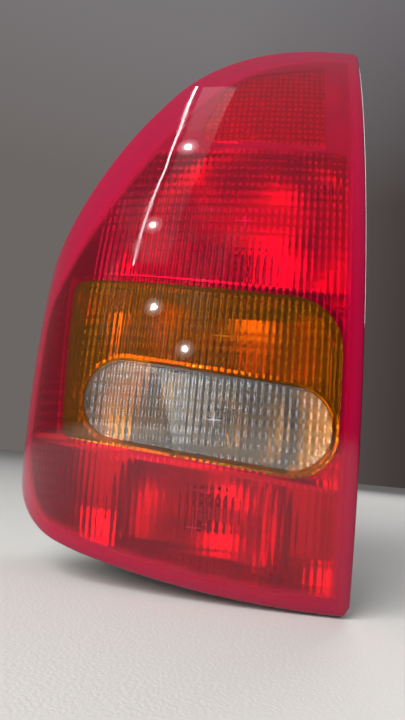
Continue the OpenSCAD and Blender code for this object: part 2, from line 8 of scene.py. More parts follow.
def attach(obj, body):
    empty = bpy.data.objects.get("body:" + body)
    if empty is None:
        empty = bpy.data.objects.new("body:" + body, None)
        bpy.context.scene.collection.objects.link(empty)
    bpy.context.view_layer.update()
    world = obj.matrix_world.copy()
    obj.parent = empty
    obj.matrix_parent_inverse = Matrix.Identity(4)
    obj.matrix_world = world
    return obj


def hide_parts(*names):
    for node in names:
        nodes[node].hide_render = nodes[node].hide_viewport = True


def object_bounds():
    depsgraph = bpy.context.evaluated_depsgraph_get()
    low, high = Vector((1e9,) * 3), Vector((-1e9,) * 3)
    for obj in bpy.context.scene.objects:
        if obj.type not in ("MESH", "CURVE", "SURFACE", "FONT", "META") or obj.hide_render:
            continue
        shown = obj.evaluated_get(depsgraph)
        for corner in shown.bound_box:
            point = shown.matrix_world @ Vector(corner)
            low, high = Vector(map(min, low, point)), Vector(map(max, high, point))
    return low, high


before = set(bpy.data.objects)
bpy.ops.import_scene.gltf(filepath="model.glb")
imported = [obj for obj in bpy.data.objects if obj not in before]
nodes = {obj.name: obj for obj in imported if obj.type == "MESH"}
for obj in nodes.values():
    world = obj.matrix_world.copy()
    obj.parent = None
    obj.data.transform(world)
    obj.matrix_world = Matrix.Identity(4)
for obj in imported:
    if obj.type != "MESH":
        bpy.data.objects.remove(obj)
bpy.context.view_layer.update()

# Housing
# The dark moulding that carries the lamp: a thin walled box of ABS from a steel mould, open at the front for
# the lens and flat at the back for the car body. Its flange shows as a thin line round the lens.


def srgb(code):
    """Linear colour of an sRGB hex value."""
    values = [int(code[k:k + 2], 16) / 255 for k in (1, 3, 5)]
    return [v / 12.92 if v <= 0.04045 else ((v + 0.055) / 1.055) ** 2.4 for v in values] + [1.0]


def add_node(tree, kind, inputs=None, **settings):
    """Adds one node with its settings; an input that is a socket is linked."""
    made = tree.nodes.new(kind)
    for key, value in settings.items():
        setattr(made, key, value)
    for key, value in (inputs or {}).items():
        if isinstance(value, bpy.types.NodeSocket):
            tree.links.new(value, made.inputs[key])
        else:
            made.inputs[key].default_value = value
    return made


def start_material(name):
    """An empty material, its tree and the Object coordinates, in metres."""
    made = bpy.data.materials.new(name)
    made.use_nodes = True
    made.node_tree.nodes.clear()
    place = add_node(made.node_tree, "ShaderNodeTexCoord").outputs["Object"]
    return made, made.node_tree, place


def close_material(tree, finish):
    """Ends a material with its surface, which takes the values and sockets of the finish."""
    surface = add_node(tree, "ShaderNodeBsdfPrincipled", finish)
    add_node(tree, "ShaderNodeOutputMaterial", {"Surface": surface.outputs["BSDF"]})


def dress(node_name, material):
    """Gives a CAD node its finish."""
    nodes[node_name].data.materials.clear()
    nodes[node_name].data.materials.append(material)


# Moulded ABS, charcoal, with slightly uneven gloss and a fine spark eroded grain. The grain is drawn at
# 0.6 mm, three times as coarse as the real one.
abs_dark, tree, place = start_material("abs_moulded_charcoal")
grain = add_node(tree, "ShaderNodeTexNoise", {"Vector": place, "Scale": 1700.0, "Detail": 2.0}).outputs["Fac"]
cloud = add_node(tree, "ShaderNodeTexNoise", {"Vector": place, "Scale": 30.0, "Detail": 3.0}).outputs["Fac"]
tone = add_node(tree, "ShaderNodeMix", {"Factor": cloud, "A": srgb("#2a2a2c"), "B": srgb("#37373a")},
                data_type="RGBA").outputs["Result"]
rough = add_node(tree, "ShaderNodeMapRange", {
    "Value": cloud, "To Min": 0.42, "To Max": 0.55}).outputs["Result"]
bump = add_node(tree, "ShaderNodeBump", {
    "Height": grain, "Strength": 0.25, "Distance": 0.0002}).outputs["Normal"]
close_material(tree, {"Base Color": tone, "Roughness": rough, "IOR": 1.5, "Normal": bump})
dress("housing", abs_dark)

# Gasket and seals
# Closed cell foam rings, die cut from black sheet and pressed to their fitted thickness: one between the
# housing and the car body, one under the bulb carrier. The cut shows open cells of just under 1 mm.
foam, tree, place = start_material("closed_cell_foam_black")
cells = add_node(tree, "ShaderNodeTexVoronoi", {"Vector": place, "Scale": 1100.0}).outputs["Distance"]
bump = add_node(tree, "ShaderNodeBump", {
    "Height": cells, "Strength": 0.6, "Distance": 0.0003}).outputs["Normal"]
tone = add_node(tree, "ShaderNodeMix", {"Factor": cells, "A": srgb("#141414"), "B": srgb("#2a2a2a")},
                data_type="RGBA").outputs["Result"]
close_material(tree, {"Base Color": tone, "Roughness": 0.85, "IOR": 1.5, "Normal": bump})
for name in ("mounting_gasket", "carrier_seal"):
    dress(name, foam)

# Studs and screws
# Steel, zinc plated and passivated: rolled studs with hexagon heads held in the housing's bosses, and four
# screws that pull the reflector against the back. The plating has a warm haze in patches of about 4 mm.
zinc, tree, place = start_material("zinc_plated_steel")
haze = add_node(tree, "ShaderNodeTexNoise", {"Vector": place, "Scale": 260.0, "Detail": 3.0}).outputs["Fac"]
tone = add_node(tree, "ShaderNodeMix", {"Factor": haze, "A": srgb("#b9b6ab"), "B": srgb("#d8d5c8")},
                data_type="RGBA").outputs["Result"]
rough = add_node(tree, "ShaderNodeMapRange", {
    "Value": haze, "To Min": 0.28, "To Max": 0.42}).outputs["Result"]
# The real thread has a turn every 0.8 mm. That is too fine to show, so its bands are drawn 5 mm apart.
thread = add_node(tree, "ShaderNodeTexWave", {"Vector": place, "Scale": 62.0, "Distortion": 0.0},
                  bands_direction="Y").outputs["Fac"]
bump = add_node(tree, "ShaderNodeBump", {
    "Height": thread, "Strength": 0.7, "Distance": 0.0004}).outputs["Normal"]
close_material(tree, {"Base Color": tone, "Metallic": 1.0, "Roughness": rough, "Normal": bump})
for name in ("mounting_studs", "reflector_screws"):
    dress(name, zinc)

# Reflector
# A polycarbonate moulding with a vacuum deposited aluminium coat under clear lacquer: ledges, partition walls
# and a round bowl behind each bulb. The coat is bright with a slight haze, and shows the moulding's waves.
coat, tree, place = start_material("vacuum_metallised_aluminium")
haze = add_node(tree, "ShaderNodeTexNoise", {"Vector": place, "Scale": 90.0, "Detail": 4.0}).outputs["Fac"]
rough = add_node(tree, "ShaderNodeMapRange", {
    "Value": haze, "To Min": 0.16, "To Max": 0.28}).outputs["Result"]
wave = add_node(tree, "ShaderNodeTexNoise", {"Vector": place, "Scale": 45.0, "Detail": 1.0}).outputs["Fac"]
bump = add_node(tree, "ShaderNodeBump", {
    "Height": wave, "Strength": 0.15, "Distance": 0.002}).outputs["Normal"]
close_material(tree, {"Base Color": srgb("#e4e4e6"), "Metallic": 1.0, "Roughness": rough, "Normal": bump})
dress("reflector", coat)

# Bulb carrier
# Black glass filled nylon, injection moulded in one shot: plate, four bayonet holders, finger grips and the
# shroud of the connector. It snaps under the housing's hooks, and it is dull with flow marks about 8 mm long.
nylon, tree, place = start_material("glass_filled_nylon_black")
flow = add_node(tree, "ShaderNodeTexNoise", {"Vector": place, "Scale": 120.0, "Detail": 5.0}).outputs["Fac"]
tone = add_node(tree, "ShaderNodeMix", {"Factor": flow, "A": srgb("#161617"), "B": srgb("#232325")},
                data_type="RGBA").outputs["Result"]
bump = add_node(tree, "ShaderNodeBump", {
    "Height": flow, "Strength": 0.2, "Distance": 0.0003}).outputs["Normal"]
close_material(tree, {"Base Color": tone, "Roughness": 0.5, "IOR": 1.53, "Normal": bump})
dress("bulb_carrier", nylon)

# Contact strips and bulb caps
# Brass: strips stamped from sheet and pressed into grooves, and drawn caps with soldered contacts. It is
# lightly tarnished, in patches of about 6 mm.
BULBS = ("tail_brake", "indicator", "reversing", "fog")
brass, tree, place = start_material("brass_strip")
tarnish = add_node(tree, "ShaderNodeTexNoise", {
    "Vector": place, "Scale": 180.0, "Detail": 4.0}).outputs["Fac"]
tone = add_node(tree, "ShaderNodeMix", {"Factor": tarnish, "A": srgb("#c9a64e"), "B": srgb("#e3c777")},
                data_type="RGBA").outputs["Result"]
rough = add_node(tree, "ShaderNodeMapRange", {
    "Value": tarnish, "To Min": 0.22, "To Max": 0.38}).outputs["Result"]
close_material(tree, {"Base Color": tone, "Metallic": 1.0, "Roughness": rough})
for name in ("earth", "brake", "tail", "indicator", "reversing", "fog"):
    dress(f"contact_{name}", brass)
for name in BULBS:
    dress(f"bulb_{name}_cap", brass)

# Bulbs
# Blown soda lime glass with a pinched stem, clear and slightly wavy; the indicator's is amber. The coil is
# drawn tungsten wire, dark and half bright, on its lead wires.
BULB_COLOURS = {"clear": "#f4f7f7", "amber": "#f09a2e"}
bulb_glass = {}
for shade, code in BULB_COLOURS.items():
    made, tree, place = start_material(f"blown_glass_{shade}")
    ripple = add_node(tree, "ShaderNodeTexNoise", {
        "Vector": place, "Scale": 150.0, "Detail": 1.0}).outputs["Fac"]
    bump = add_node(tree, "ShaderNodeBump", {
        "Height": ripple, "Strength": 0.1, "Distance": 0.0005}).outputs["Normal"]
    close_material(tree, {"Base Color": srgb(code), "Roughness": 0.02, "IOR": 1.52,
                          "Transmission Weight": 1.0, "Normal": bump})
    bulb_glass[shade] = made
tungsten, tree, _ = start_material("tungsten_wire")
close_material(tree, {"Base Color": srgb("#8a8a8e"), "Metallic": 1.0, "Roughness": 0.4})
for name in BULBS:
    dress(f"bulb_{name}_glass", bulb_glass["amber" if name == "indicator" else "clear"])
    dress(f"bulb_{name}_filament", tungsten)

# Red lens
# Acrylic, moulded red in one piece with the amber and clear windows: a polished outer skin rolled round the
# corner of the car, upright flutes broken into pillows on the inner face, and a wall welded to the housing.
# All lengths are in mm, from the lamp's inner lower corner, and to_object brings them into the frame.
LAMP_CORNER, TO_METRES = (89.0, -115.0, -120.0), 0.001
INNER_H, LENS_W, LENS_T = 360.0, 200.0, 3.0
SHOULDER_X, SHOULDER_R, SHOULDER_SLOPE = 20.0, 116.0, radians(61)
SIDE_R, LOW_R, BOTTOM_R, EDGE_R = 50.0, 62.0, 640.0, 5.0
BARREL_R, BARREL_Z, CROWN_R, CROWN_X, CORNER_R = 465.0, 110.0, 500.0, 60.0, 80.0
SIDE_IN, SIDE_LEAN, SIDE_DEPTH, RIM_DEPTH = 1.6, radians(6), 102.0, 24.0
FLUTE_PITCH, FLUTE_H, PILLOW_PITCH, PILLOW_H, CUSP = 3.5, 0.42, 6.0, 0.45, 0.08
FADE_X, FADE_W, FADE_LOW = -156.0, 20.0, 0.15
BAND, BAND_SHIFT = 8.0, (12.0, -9.0)
FLUTE_STEPS, PILLOW_STEPS, COLUMN_GAP = 6, 3, 0.15
MERGE_GAP, SHARP_ANGLE = 0.002, radians(50)
crown_at = np.array([BARREL_R - CROWN_R, -CROWN_X])
crown_tilt = asin((SIDE_IN - LENS_W + CROWN_X + CORNER_R * cos(SIDE_LEAN)) / (CROWN_R - CORNER_R))
side_tilt = SIDE_LEAN - pi / 2
corner_at = crown_at + (CROWN_R - CORNER_R) * np.array([cos(crown_tilt), sin(crown_tilt)])


def arc(centre, radius, start, end, step=radians(2)):
    """Points of an arc, both ends included."""
    count = max(2, ceil(abs(end - start) / step))
    turn = np.linspace(start, end, count + 1)
    return np.column_stack([centre[0] + radius * np.cos(turn), centre[1] + radius * np.sin(turn)])


def lens_outline(inset):
    """Outline of the lens from the rear of the car, x and z, moved inwards."""
    shoulder = np.array([-SHOULDER_X, INNER_H - SHOULDER_R])
    side_x = -LENS_W + SIDE_R
    drop = (SHOULDER_R - SIDE_R + sin(SHOULDER_SLOPE) * (side_x - shoulder[0])) / cos(SHOULDER_SLOPE)
    low_x = -LENS_W + LOW_R
    low = np.array([low_x, BOTTOM_R - sqrt((BOTTOM_R - LOW_R) ** 2 - low_x ** 2)])
    edge = np.array([-EDGE_R, BOTTOM_R - sqrt((BOTTOM_R - EDGE_R) ** 2 - EDGE_R ** 2)])
    low_turn = atan2(low[1] - BOTTOM_R, low[0])
    edge_turn = atan2(edge[1] - BOTTOM_R, edge[0])
    return np.vstack([
        arc((-EDGE_R, INNER_H - EDGE_R), EDGE_R - inset, 0, pi / 2, radians(10)),
        arc(shoulder, SHOULDER_R - inset, pi / 2, pi / 2 + SHOULDER_SLOPE)[1:],
        arc((side_x, shoulder[1] + drop), SIDE_R - inset, pi / 2 + SHOULDER_SLOPE, pi),
        arc(low, LOW_R - inset, pi, 2 * pi + low_turn),
        arc((0, BOTTOM_R), BOTTOM_R - inset, low_turn, edge_turn, radians(1.5))[1:-1],
        arc(edge, EDGE_R - inset, edge_turn, 0, radians(10)),
    ])


def outside(points, outline):
    """Signed distance of points from a convex outline that runs anticlockwise, above 0 outside."""
    run = np.roll(outline, -1, axis=0) - outline
    length = np.hypot(*run.T)
    keep = length > 1e-6
    normal = np.column_stack([run[keep, 1], -run[keep, 0]]) / length[keep, None]
    return np.max(points @ normal.T - np.sum(outline[keep] * normal, axis=1), axis=1)


def skin_depth(x, z, depth):
    """How far the skin, moved inwards by depth, lies behind the foremost point."""
    crown = crown_at[0] + np.sqrt(np.maximum((CROWN_R - depth) ** 2 - (x - crown_at[1]) ** 2, 0))
    roll_r = CORNER_R - depth
    roll = corner_at[0] + np.sqrt(np.maximum(roll_r ** 2 - (x - corner_at[1]) ** 2, 0))
    roll_x = corner_at[1] + roll_r * sin(crown_tilt)
    side_x = corner_at[1] + roll_r * sin(side_tilt)
    side = corner_at[0] + roll_r * cos(side_tilt) - (side_x - x) / tan(SIDE_LEAN)
    radius = np.where(x >= roll_x, crown, np.where(x >= side_x, roll, side))
    return BARREL_R - np.sqrt(radius ** 2 - (z - BARREL_Z) ** 2)


def skin(x, z):
    return skin_depth(x, z, 0.0)


def first_flute():
    """Turn of the flute next to the inner edge."""
    return asin((CROWN_X - EDGE_R - LENS_T) / (CROWN_R - LENS_T))


def flute_place(x):
    """Place of x across its flute, from -1 to 1."""
    inner, roll_r = CROWN_R - LENS_T, CORNER_R - LENS_T
    on_crown = (first_flute() - np.arcsin(np.clip((x - crown_at[1]) / inner, -1, 1))) * inner / FLUTE_PITCH
    on_roll = (crown_tilt - np.arcsin(np.clip((x - corner_at[1]) / roll_r, -1, 1))) * roll_r / FLUTE_PITCH
    place = np.where(x >= corner_at[1] + roll_r * sin(crown_tilt), on_crown, on_roll)
    return 2 * (place - np.round(place))


def column_places():
    """Grid columns in x: even steps along the skin, so that flute edges fall on a column."""
    inner, roll_r = CROWN_R - LENS_T, CORNER_R - LENS_T
    turns = np.arange(first_flute() + FLUTE_PITCH / inner / 2, crown_tilt, -FLUTE_PITCH / inner / FLUTE_STEPS)
    rolls = np.arange(crown_tilt, side_tilt, -FLUTE_PITCH / roll_r / FLUTE_STEPS)
    places = np.sort(np.concatenate([
        np.linspace(0, -EDGE_R, 7), crown_at[1] + inner * np.sin(turns), corner_at[1] + roll_r * np.sin(rolls),
        np.linspace(-LENS_W + LENS_T + 1, -LENS_W + 2, 3),
    ]))
    return places[np.concatenate([[True], np.diff(places) > COLUMN_GAP])]


def pillow_height(x, z):
    """Height of the flutes and pillows on the inner face; the flutes die out on the wrapped side."""
    flute = FLUTE_H * np.clip((x - FADE_X) / FADE_W, FADE_LOW, 1)
    up = 2 * (z / PILLOW_PITCH - np.round(z / PILLOW_PITCH))
    return CUSP + flute * (1 - flute_place(x) ** 2) + PILLOW_H * (1 - up ** 2)


def fluted_face(x, z):
    return skin_depth(x, z, LENS_T + pillow_height(x, z))


def beyond_field(points):
    """Distance out of the fluted field into the plain band round it, which is wider at the top and side."""
    border = lens_outline(0)
    return BAND + np.maximum(outside(points, border), outside(points - np.array(BAND_SHIFT), border))


def nearest(point, outline):
    """Nearest point on an outline, as its gap, place, side and share of that side."""
    run = np.roll(outline, -1, axis=0) - outline
    length = np.maximum(np.sum(run * run, axis=1), 1e-9)
    share = np.clip(np.sum((point - outline) * run, axis=1) / length, 0, 1)
    spots = outline + share[:, None] * run
    gaps = np.hypot(*(spots - point).T)
    side = int(np.argmin(gaps))
    return gaps[side], spots[side], side, share[side]


def boundary_loops(bm):
    """Border edges of a sheet, one list for each closed border, the shortest first."""
    left = {e for e in bm.edges if e.is_boundary}
    loops = []
    while left:
        stack, loop = [left.pop()], []
        while stack:
            loop.append(stack.pop())
            beside = {e for v in loop[-1].verts for e in v.link_edges} & left
            left -= beside
            stack.extend(beside)
        loops.append(loop)
    return sorted(loops, key=len)


def lens_sheet(area, holes, columns, rows):
    """A flat grid trimmed to an outline and its holes; its border vertices lie on them."""
    bm = bmesh.new()
    nx, nz = len(columns) - 1, len(rows) - 1
    bmesh.ops.create_grid(bm, x_segments=nx, y_segments=nz, size=1)
    for v in bm.verts:
        v.co = (columns[round((v.co.x + 1) / 2 * nx)], 0.0, rows[round((v.co.y + 1) / 2 * nz)])
    bm.faces.ensure_lookup_table()
    middles = np.array([f.calc_center_median().xz for f in bm.faces])
    out = outside(middles, area) > 0
    for hole in holes:
        out |= outside(middles, hole) < 0
    bmesh.ops.delete(bm, geom=[f for f, gone in zip(bm.faces, out) if gone], context="FACES")
    for v in [v for v in bm.verts if any(e.is_boundary for e in v.link_edges)]:
        place = np.array(v.co.xz)
        found = [nearest(place, outline) for outline in [area] + holes]
        v.co.x, v.co.z = min(found, key=lambda near: near[0])[1]
    return bm


def set_depths(verts, depth):
    """Moves vertices to the depth given for their place."""
    verts = list(verts)
    places = np.array([v.co.xz for v in verts])
    for v, y in zip(verts, depth(places[:, 0], places[:, 1])):
        v.co.y = y


def border_shares(edges, outline):
    """Where each vertex of a border lies on its outline, as side and share."""
    return {v: nearest(np.array(v.co.xz), outline)[2:] for v in {v for e in edges for v in e.verts}}


def extrude_border(bm, edges, shares, outline, depth):
    """Extrudes a border once; its new vertices take the same shares of an outline, at a depth."""
    made = bmesh.ops.extrude_edge_only(bm, edges=edges)["geom"]
    new = [g for g in made if isinstance(g, bmesh.types.BMVert)]
    found = [shares[next(e.other_vert(v) for e in v.link_edges if e.other_vert(v) in shares)] for v in new]
    side, share = (np.array(column) for column in zip(*found))
    run = np.roll(outline, -1, axis=0) - outline
    places = outline[side] + share[:, None] * run[side]
    for v, (x, z), y in zip(new, places, depth(places[:, 0], places[:, 1])):
        v.co = (x, y, z)
    border = [g for g in made if isinstance(g, bmesh.types.BMEdge) and g.is_boundary]
    return border, dict(zip(new, found))


def join_face(bm, face):
    """Adds a second face to a sheet and merges the borders."""
    mesh = bpy.data.meshes.new("face")
    face.to_mesh(mesh)
    face.free()
    bm.from_mesh(mesh)
    bpy.data.meshes.remove(mesh)
    bmesh.ops.remove_doubles(bm, verts=bm.verts, dist=MERGE_GAP)


def closed_shell(sheet, outer, inner):
    """Closes a flat sheet into a shell between an outer and an inner depth."""
    back = sheet.copy()
    set_depths(back.verts, inner)
    set_depths(sheet.verts, outer)
    for loop in boundary_loops(sheet):
        made = bmesh.ops.extrude_edge_only(sheet, edges=loop)["geom"]
        set_depths([g for g in made if isinstance(g, bmesh.types.BMVert)], inner)
    join_face(sheet, back)
    return sheet


def mark_verts(bm, name, values):
    """Keeps one value for each vertex, for the material to read."""
    layer = bm.verts.layers.float.new(name)
    places = np.array([v.co for v in bm.verts])
    for v, value in zip(bm.verts, values(*places.T)):
        v[layer] = value


def to_object(bm, name, material, slot, *replaced):
    """Moves a piece into the frame, in metres, and hands it to the scene."""
    bmesh.ops.recalc_face_normals(bm, faces=bm.faces)
    to_frame = Matrix.Scale(TO_METRES, 4) @ Matrix.Translation(LAMP_CORNER)
    bmesh.ops.transform(bm, matrix=to_frame, verts=bm.verts)
    mesh = bpy.data.meshes.new(name)
    bm.to_mesh(mesh)
    bm.free()
    mesh.shade_smooth()
    mesh.set_sharp_from_angle(angle=SHARP_ANGLE)
    mesh.materials.append(material)
    piece = bpy.data.objects.new(name, mesh)
    bpy.context.scene.collection.objects.link(piece)
    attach(piece, "root")
    if replaced:
        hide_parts(*replaced)


# The amber window and the reflex reflector are set into the red, so their outlines come here.
AMBER_X, AMBER_FAR, AMBER_LEAN = 10.5, 160.0, radians(4.2)
AMBER_TOP, AMBER_TOP_SLOPE, AMBER_LOW, AMBER_LOW_SLOPE = 153.0, radians(2.9), 60.7, radians(4.6)
AMBER_RADII = (27.0, 7.0, 7.0, 21.0)
REFLEX_CORNERS = [(-23, 253), (-24, 332), (-79, 319), (-88, 305), (-98, 265), (-94, 257)]
REFLEX_RADII = (2, 2, 6, 6, 4, 4)
PLAIN_ABOVE = 248.0


def top_line(x):
    return AMBER_TOP - x * tan(AMBER_TOP_SLOPE)


def low_line(x):
    return AMBER_LOW - x * tan(AMBER_LOW_SLOPE)


def far_line(z):
    return -AMBER_FAR + (top_line(-AMBER_FAR) - z) * tan(AMBER_LEAN)


def rounded(corners, radii, step=radians(3)):
    """Outline with an arc at each corner; the corners run anticlockwise."""
    parts = []
    for k, radius in enumerate(radii):
        p, q, s = (np.array(corners[(k + n) % len(corners)], float) for n in (-1, 0, 1))
        u, v = (p - q) / np.linalg.norm(p - q), (s - q) / np.linalg.norm(s - q)
        half = np.arccos(u @ v) / 2
        centre = q + radius / sin(half) * (u + v) / np.linalg.norm(u + v)
        start, end = q + radius / tan(half) * u - centre, q + radius / tan(half) * v - centre
        turn = atan2(start[0] * end[1] - start[1] * end[0], start @ end)
        begin = atan2(start[1], start[0])
        parts.append(arc(centre, radius, begin, begin + turn, step))
    return np.vstack(parts)


def amber_outline(inset):
    """Outline of the amber window, moved inwards."""
    right = -AMBER_X - inset
    high, low = top_line(-AMBER_FAR) - inset, low_line(-AMBER_FAR) + inset
    return rounded(
        [(right, top_line(right) - inset), (far_line(high) + inset, top_line(far_line(high)) - inset),
         (far_line(low) + inset, low_line(far_line(low)) + inset), (right, low_line(right) + inset)],
        [radius - inset for radius in AMBER_RADII])


def reflex_outline():
    return rounded(REFLEX_CORNERS, REFLEX_RADII)


def red_inner(x, z):
    """Depth of the red moulding's inner face: plain along the rim and above the tail chamber."""
    plain = (beyond_field(np.column_stack([x, z])) > 0) | (z > PLAIN_ABOVE)
    return skin_depth(x, z, LENS_T + np.where(plain, 0.0, pillow_height(x, z)))


columns = column_places()
rows = np.arange(-1.5 * PILLOW_PITCH, INNER_H + PILLOW_PITCH, PILLOW_PITCH / PILLOW_STEPS)
red = lens_sheet(lens_outline(LENS_T), [amber_outline(0)], columns, rows)
inner = red.copy()
set_depths(inner.verts, red_inner)
set_depths(red.verts, skin)

# The rim is a small round edge, given as distances inside the outline and behind the skin, then the wall's
# outside, its rear edge and its inside.
RIM_EDGE = ((1.8, 0.0), (0.9, 0.12), (0.3, 0.5), (0.0, 1.3))
LEAST_WALL = 0.5


def behind_skin(drop):
    """Depth function of a line that follows the skin at a drop behind it."""
    return lambda x, z: skin(x, z) + drop


def rear_edge(x, z):
    """Depth of the wall's rear edge."""
    return np.minimum(skin(x, z) + RIM_DEPTH, SIDE_DEPTH)


def mid_wall(x, z):
    return (skin(x, z) + RIM_EDGE[-1][1] + rear_edge(x, z)) / 2


def rear_inside(x, z):
    return np.maximum(rear_edge(x, z), skin_depth(x, z, LENS_T) + LEAST_WALL)


hole, rim = boundary_loops(red)
shares = border_shares(rim, lens_outline(LENS_T))
wall = [(0.0, mid_wall), (0.0, rear_edge), (LENS_T, rear_inside), (LENS_T, red_inner)]
for inset, depth in [(inset, behind_skin(drop)) for inset, drop in RIM_EDGE] + wall:
    rim, shares = extrude_border(red, rim, shares, lens_outline(inset), depth)
extrude_border(red, hole, border_shares(hole, amber_outline(0)), amber_outline(0), red_inner)
join_face(red, inner)

# Light runs a long way through the rim's wall, which looks a deep crimson. The plain part round the reflex
# reflector has a little of that colour.
DEEP_RUN, DEEP_START, PLAIN_SHARE = 8.0, 0.4, 0.22


def deep_share(x, y, z):
    """Share of the rim's deep colour: full in the rim, PLAIN_SHARE in the plain part, none in the field."""
    points = np.column_stack([x, z])
    plain = (z > PLAIN_ABOVE) & (outside(points, reflex_outline()) > 0)
    return np.clip(beyond_field(points) / DEEP_RUN + DEEP_START, np.where(plain, PLAIN_SHARE, 0), 1)


mark_verts(red, "deep", deep_share)


def acrylic(name, code, clear, deep_and_glint_code=None, deep_and_glint_clear=0.3):
    """Polished acrylic with faint wipe marks; clear is the share of light that goes straight through.

    The deep colour and its share take over where the piece has the mark "deep"; on the reflex prisms it is a
    painted glint.
    """
    made, tree, place = start_material(name)
    wipe = add_node(tree, "ShaderNodeTexNoise", {"Vector": place, "Scale": 55.0, "Detail": 6.0}).outputs["Fac"]
    rough = add_node(tree, "ShaderNodeMapRange", {
        "Value": wipe, "From Min": 0.4, "From Max": 0.7, "To Min": 0.02, "To Max": 0.07}).outputs["Result"]
    finish = {"Base Color": srgb(code), "Roughness": rough, "IOR": 1.49, "Transmission Weight": clear}
    if deep_and_glint_code:
        deep = add_node(tree, "ShaderNodeAttribute", attribute_name="deep").outputs["Fac"]
        finish["Base Color"] = add_node(tree, "ShaderNodeMix", {
            "Factor": deep, "A": srgb(code), "B": srgb(deep_and_glint_code)}, data_type="RGBA").outputs["Result"]
        finish["Transmission Weight"] = add_node(tree, "ShaderNodeMapRange", {
            "Value": deep, "To Min": clear, "To Max": deep_and_glint_clear}).outputs["Result"]
    close_material(tree, finish)
    return made


red_acrylic = acrylic("acrylic_red_polished", "#f0044a", 0.94, "#9e0a36")
to_object(red, "red_lens_moulding", red_acrylic, "red_lens", "red_lens")

# Joint rib
# A dark rib behind the joint of the red and the amber, round the window's top and sides. It keeps the light of
# the tail chamber out of the amber, and it looks crimson through the red and brown through the amber.
RIB_OUT, RIB_IN, RIB_FRONT, RIB_H, RIB_LOW = 3.6, 3.2, 4.0, 4.5, 78.0
rib = lens_sheet(amber_outline(-RIB_OUT), [amber_outline(RIB_IN)], columns, rows)
away = [f for f in rib.faces if f.calc_center_median().z < RIB_LOW]
bmesh.ops.delete(rib, geom=away, context="FACES")
closed_shell(rib, lambda x, z: skin_depth(x, z, RIB_FRONT), lambda x, z: skin_depth(x, z, RIB_FRONT) + RIB_H)
# The rib's colour #5c0416 is darker than the rim's deep crimson; that extra darkness is painted shade, for the
# shade in the band behind the joint.
to_object(rib, "red_lens_joint_rib", acrylic("acrylic_red_rib_painted_shade", "#5c0416", 0.35), "red_lens")

# Amber window
# Amber acrylic, shot into its opening in the red in the same mould, with a collar behind it that frames the
# clear window and shows as a bright line.
GAP, COLLAR_T, COLLAR_H = 0.05, 1.6, 5.0
PILL_AT, PILL_SPAN, PILL_R, PILL_SLOPE = np.array([-78.0, 91.0]), 87.6, 20.4, radians(-5)


def pill_outline(inset):
    """Outline of the clear window, moved inwards."""
    half = np.array([cos(PILL_SLOPE), sin(PILL_SLOPE)]) * PILL_SPAN / 2
    turn = PILL_SLOPE + pi / 2
    return np.vstack([
        arc(PILL_AT + half, PILL_R - inset, turn - pi, turn, radians(4)),
        arc(PILL_AT - half, PILL_R - inset, turn, turn + pi, radians(4)),
    ])


def collar_end(x, z):
    return skin_depth(x, z, LENS_T + COLLAR_H)


amber = lens_sheet(amber_outline(GAP), [pill_outline(0)], columns, rows)
inner = lens_sheet(amber_outline(GAP), [pill_outline(-COLLAR_T)], columns, rows)
set_depths(amber.verts, skin)
set_depths(inner.verts, fluted_face)
hole, rim = boundary_loops(amber)
extrude_border(amber, rim, border_shares(rim, amber_outline(GAP)), amber_outline(GAP), fluted_face)
shares = border_shares(hole, pill_outline(0))
for inset in (0, -COLLAR_T):
    hole, shares = extrude_border(amber, hole, shares, pill_outline(inset), collar_end)
join_face(amber, inner)
bmesh.ops.bridge_loops(amber, edges=[e for e in amber.edges if e.is_boundary])
amber_acrylic = acrylic("acrylic_amber_polished", "#cc7e0c", 0.94)
to_object(amber, "amber_window_moulding", amber_acrylic, "amber_lens", "amber_lens")

# Clear window
# Clear acrylic over the reversing lamp, with the same flutes and pillows as the rest. It is moulded into the
# amber collar.
clear = closed_shell(lens_sheet(pill_outline(GAP), [], columns, rows), skin, fluted_face)
clear_acrylic = acrylic("acrylic_clear_polished", "#f3f6f5", 0.97)
to_object(clear, "clear_window_moulding", clear_acrylic, "clear_lens", "clear_lens")

# Reflex reflector
# A plate of red acrylic bonded behind the plain part of the lens. Its back is rows of small prisms whose tips
# catch the light.
# The tips' glint is painted: the prism tips take a pale pink colour, and their bases a little of it.
REFLEX_FRONT, REFLEX_T, PRISM_W, PRISM_PITCH, PRISM_H = 3.05, 4.8, 3.43, 4.9, 1.7
BASE_BAND, BASE_SHARE, BASE_GAP = 0.5, 0.28, 0.01
prism_columns, prism_rows = np.arange(-102, -18, PRISM_W), np.arange(250, 336, PRISM_PITCH)


def plate_front(x, z):
    return skin_depth(x, z, REFLEX_FRONT)


def prism_base(x, z):
    return skin_depth(x, z, REFLEX_FRONT + REFLEX_T - PRISM_H)


def prism_glint_share(x, y, z):
    """Share of the painted glint: full at the prism tips, BASE_SHARE at the bases, none in the plate's front.
    """
    behind = y - prism_base(x, z)
    return np.where(behind > BASE_BAND, 1.0, np.where(behind > -BASE_BAND, BASE_SHARE, 0.0))


reflex = closed_shell(lens_sheet(reflex_outline(), [], prism_columns, prism_rows), plate_front, prism_base)
backs = [f for f in reflex.faces
         if all(abs(v.co.y - float(prism_base(v.co.x, v.co.z))) < BASE_GAP for v in f.verts)]
for f in backs:
    if f.normal.y < 0:
        f.normal_flip()
bmesh.ops.poke(reflex, faces=backs, offset=PRISM_H, center_mode="MEAN_WEIGHTED", use_relative_offset=False)
# Here the mark "deep" carries the painted glint, and the pale pink #ff9cb0 below is its colour.
mark_verts(reflex, "deep", prism_glint_share)
prism_acrylic_painted_glint = acrylic("acrylic_red_prisms_painted_glint", "#f8064e", 0.9, "#ff9cb0", 0.0)
to_object(reflex, "reflex_prism_plate", prism_acrylic_painted_glint, "reflex_red", "reflex_reflector")

